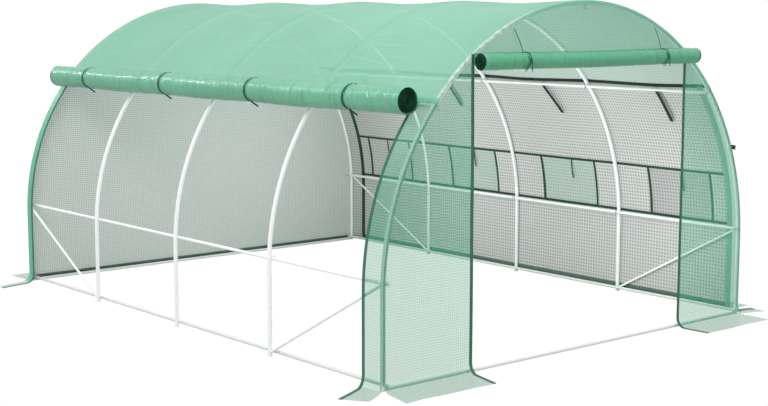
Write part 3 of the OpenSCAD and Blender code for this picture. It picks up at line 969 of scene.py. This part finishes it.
# strings of the door roll: from the arch, round the roll, crossed and knotted in front
STRING_R = 0.0022
CROSS = ((-0.016, 0.016, 0.030), (-0.006, 0.002, 0.010), (0, 0, 0), (0.010, 0.002, -0.012),
         (0.015, 0.008, -0.034), (0.021, 0.012, -0.054))
TAIL = ((0.012, 0.016, 0.028), (0.003, -0.002, 0.008), (-0.004, -0.004, -0.004),
        (-0.014, 0.004, -0.020), (-0.022, 0.010, -0.044), (-0.036, 0.012, -0.052))
for number, (x, root_x) in enumerate(zip(door_ties, (-0.584, 0.584)), 1):
    held_r = DOOR_ROLL_R * 0.925 + 0.0030
    root = Vector((root_x, -2.0075, 1.8437))
    ring = []
    for i in range(29):
        a = math.radians(104 - i * 360 / 28)
        ring.append(door_centre + Vector((x + 0.007 * math.sin(a * 2), 0, 0))
                    + Vector((0, -math.cos(a), math.sin(a))) * held_r)
    drop = [root.lerp(ring[0], t) + Vector((0, -0.004 * math.sin(math.pi * t), 0))
            for t in (0, 0.25, 0.5, 0.75)]
    knot = door_centre + Vector((x, -held_r - 0.003, -0.004))
    string(f"door_string_{number}", drop + ring, *(["door_roll_ties"] if number == 1 else []))
    for end_word, steps in (("cross", CROSS), ("tail", TAIL)):
        string(f"door_string_{number}_{end_word}",
               round_curve([knot + Vector(step) for step in steps], 22))


def down_the_wall(count, start, stop, y_at, gap_at):
    """A line down the inside of the windowed wall, between two angles over the hoops' centre."""
    line = []
    for i in range(count + 1):
        s = i / count
        a = math.radians(mix(start, stop, s))
        r = COVER_R - gap_at(s)
        line.append(Vector((r * math.cos(a), y_at(s), LEG + r * math.sin(a))))
    return line


def bulge(s, size):
    return size * math.sin(math.pi * s)


# straps that hang inside the windowed wall, for its roll: y at both ends and the lower angle
STRAP_MARKS = ((-1.571, -1.596, 29.7), (-0.570, -0.640, 30.0), (0.431, 0.395, 29.8),
               (1.440, 1.436, 34.6))
for number, (y0, y1, polar) in enumerate(STRAP_MARKS, 1):
    slack, bow = (1, 0.012) if number == 2 else (0.4, 0.0036)   # the second hangs loosest
    line = down_the_wall(12, 39.7, polar, lambda s: mix(y0, y1, s) - bulge(s, bow),
                         lambda s: 0.025 + bulge(s, 0.012) * slack)
    strap(f"hanging_strap_{number}", line, Vector((0, 1, 0)), 0.025, 0.002,
          black_tape, "black_strap", *(["right_straps"] if number == 1 else []))

# narrow ties inside the windows' heads
for number, y in enumerate((-1.565, -0.580, 0.424, 1.454), 1):
    line = down_the_wall(8, 15.6, 10.0, lambda s: y + 0.006 * s,
                         lambda s: 0.006 + bulge(s, 0.006))
    strap(f"window_tie_{number}", line, Vector((0, 1, 0)), 0.010, 0.0016,
          deep_tape, "black_strap", *(["right_window_ties"] if number == 1 else []))

# the webbing tab at the front right corner
tab = middle("right_corner_tab")
tab_out = Vector((tab.x, 0, tab.z - LEG)).normalized()
tab_root = Vector((0, tab.y, LEG)) + tab_out * (COVER_R + 0.0008)
tab_way = Vector((0.96, -0.04, -0.16))
line = [tab_root + tab_way * 0.046 * s + Vector((0, -0.003 * math.sin(math.pi * s), 0))
        for s in (0, 0.15, 0.3, 0.45, 0.6, 0.75, 0.9, 1)]
strap("corner_tab_webbing", line, Vector((0.16, 0, 0.98)), 0.027, 0.005,
      black_tape, "black_strap", "right_corner_tab")


# ------------ wing nuts on the rails
def wing_nut():
    """A pressed wing nut on its bolt's end, standing on z = 0: hub, two raised wings, screw."""
    nothing_selected()
    bpy.ops.mesh.primitive_cylinder_add(vertices=16, radius=0.0055, depth=0.006,
                                        location=(0, 0, 0.003))
    nut = bpy.context.object
    mesh = nut.data
    pick_faces(nut, lambda f: abs(f.normal.x) > 0.9)
    for out, up, grow in ((0.004, 0.003, 0.7), (0.005, 0.004, 1.0)):
        edit(nut, bpy.ops.mesh.extrude_region_move)
        for k in {k for f in mesh.polygons if f.select for k in f.vertices}:
            p = mesh.vertices[k].co
            p += Vector((out if p.x > 0 else -out, p.y * (grow - 1), up))
    pick_faces(nut, lambda f: f.normal.z > 0.99 and len(f.vertices) > 8)
    edit(nut, lambda: bpy.ops.mesh.inset(thickness=0.0025),
         lambda: bpy.ops.mesh.extrude_region_move(TRANSFORM_OT_translate={"value": (0, 0, 0.007)}))
    modify(nut, "BEVEL", width=0.0006, segments=2, limit_method="ANGLE")
    soft_edges(nut, 40)
    mesh.materials.append(zinc)
    return nut


pattern = wing_nut()
for rail in ("side_rail_left", "side_rail_right", "purlin_left", "purlin_right", "ridge_tube"):
    centre = middle(rail)
    radial = Vector((centre.x, 0, centre.z - LEG)).normalized()
    thick = (box[rail][1] - box[rail][0]).x / 2
    nuts = []
    for number, y in enumerate(HOOP_Y):
        nut = pattern.copy()
        nut.data = pattern.data.copy()
        bpy.context.scene.collection.objects.link(nut)
        turn = Matrix.Rotation(math.radians(35 + 47 * number), 4, "Z")
        stand = (-radial).to_track_quat("Z", "Y").to_matrix().to_4x4()
        seat = Matrix.Translation(Vector((centre.x, y, centre.z)) - radial * (thick - 0.0004))
        nut.data.transform(seat @ stand @ turn)
        nuts.append(nut)
    nothing_selected()
    for nut in nuts:
        nut.select_set(True)
    bpy.context.view_layer.objects.active = nuts[0]
    bpy.ops.object.join()
    joined = bpy.context.object
    joined.name = joined.data.name = f"wing_nuts_{rail}"
    joined.matrix_world = Matrix.Identity(4)
    settle(joined, "white_tube")
bpy.data.objects.remove(pattern)

# ------------ floor, light and view
nothing_selected()
bpy.ops.mesh.primitive_plane_add(size=240, location=(0, 0, -0.0005))
floor = bpy.context.object
floor.name = "studio_floor"
floor_paint, tree, output = finish_named("pale_studio_floor")
shader = add(tree, "BsdfPrincipled", {"Base Color": linear("#bcbcbc"), "Roughness": 0.9}).outputs[0]
glow = add(tree, "Emission", {"Color": linear("#ffffff"), "Strength": 1.01}).outputs[0]
seen = add(tree, "LightPath").outputs["Is Camera Ray"]
tree.links.new(add(tree, "MixShader", {0: seen, 1: shader, 2: glow}).outputs[0], output.inputs[0])
floor.data.materials.append(floor_paint)

world = bpy.data.worlds.new("soft_studio")
bpy.context.scene.world = world
world.use_nodes = True
tree = world.node_tree
tree.nodes.clear()
up = add(tree, "SeparateXYZ", {0: add(tree, "TexCoord").outputs["Generated"]}).outputs[2]
sky = ramp(tree, up, 0.0, 0.9, 0.70, 1.0)
seen = add(tree, "LightPath").outputs["Is Camera Ray"]
strength = add(tree, "Mix", {0: seen, 2: sky, 3: 1.01}).outputs[0]
dome = add(tree, "Background", {0: (1, 1, 1, 1), 1: strength}).outputs[0]
tree.links.new(dome, add(tree, "OutputWorld").inputs[0])


def softbox(name, place, aim, power, wide, high, line=None):
    """A lamp box aimed at a point; line is the direction of its width, level unless given."""
    data = bpy.data.lights.new(name, "AREA")
    data.energy = power
    data.shape = "RECTANGLE"
    data.size, data.size_y = wide, high
    lamp = new_object(name, data)
    lamp.location = place
    lamp.visible_camera = False
    back_way = (Vector(place) - Vector(aim)).normalized()
    if line:
        up_way = back_way.cross(Vector(line)).normalized()
        turn = Matrix((up_way.cross(back_way), up_way, back_way)).transposed()
        lamp.rotation_euler = turn.to_euler()
    else:
        lamp.rotation_euler = (-back_way).to_track_quat("-Z", "Y").to_euler()


softbox("key_softbox", (-7.5, -5.0, 7.0), (0, 0, 1), 240, 4.0, 3.0)
softbox("strip_light", (-3.45, 5.4, 4.6), (-1.24, 0, 1.48), 90, 4.6, 0.12, (0.46, 0.6, -0.65))
softbox("edge_light", (0.2, -5.0, 9.1), (-0.8, -2.0, 1.8), 150, 5.0, 0.3, (0.905, 0.419, 0.06))
for number, (place, power) in enumerate((((0.30, -1.0, 0.80), 21.5), ((0.40, 0.60, 0.85), 23.5),
                                         ((1.08, -1.62, 0.70), 4.0)), 1):
    data = bpy.data.lights.new(f"fill_light_{number}", "POINT")
    data.energy, data.shadow_soft_size = power, 0.35
    lamp = new_object(data.name, data)
    lamp.location = place
    lamp.visible_camera = lamp.visible_glossy = False
bpy.context.scene.view_settings.view_transform = "Standard"
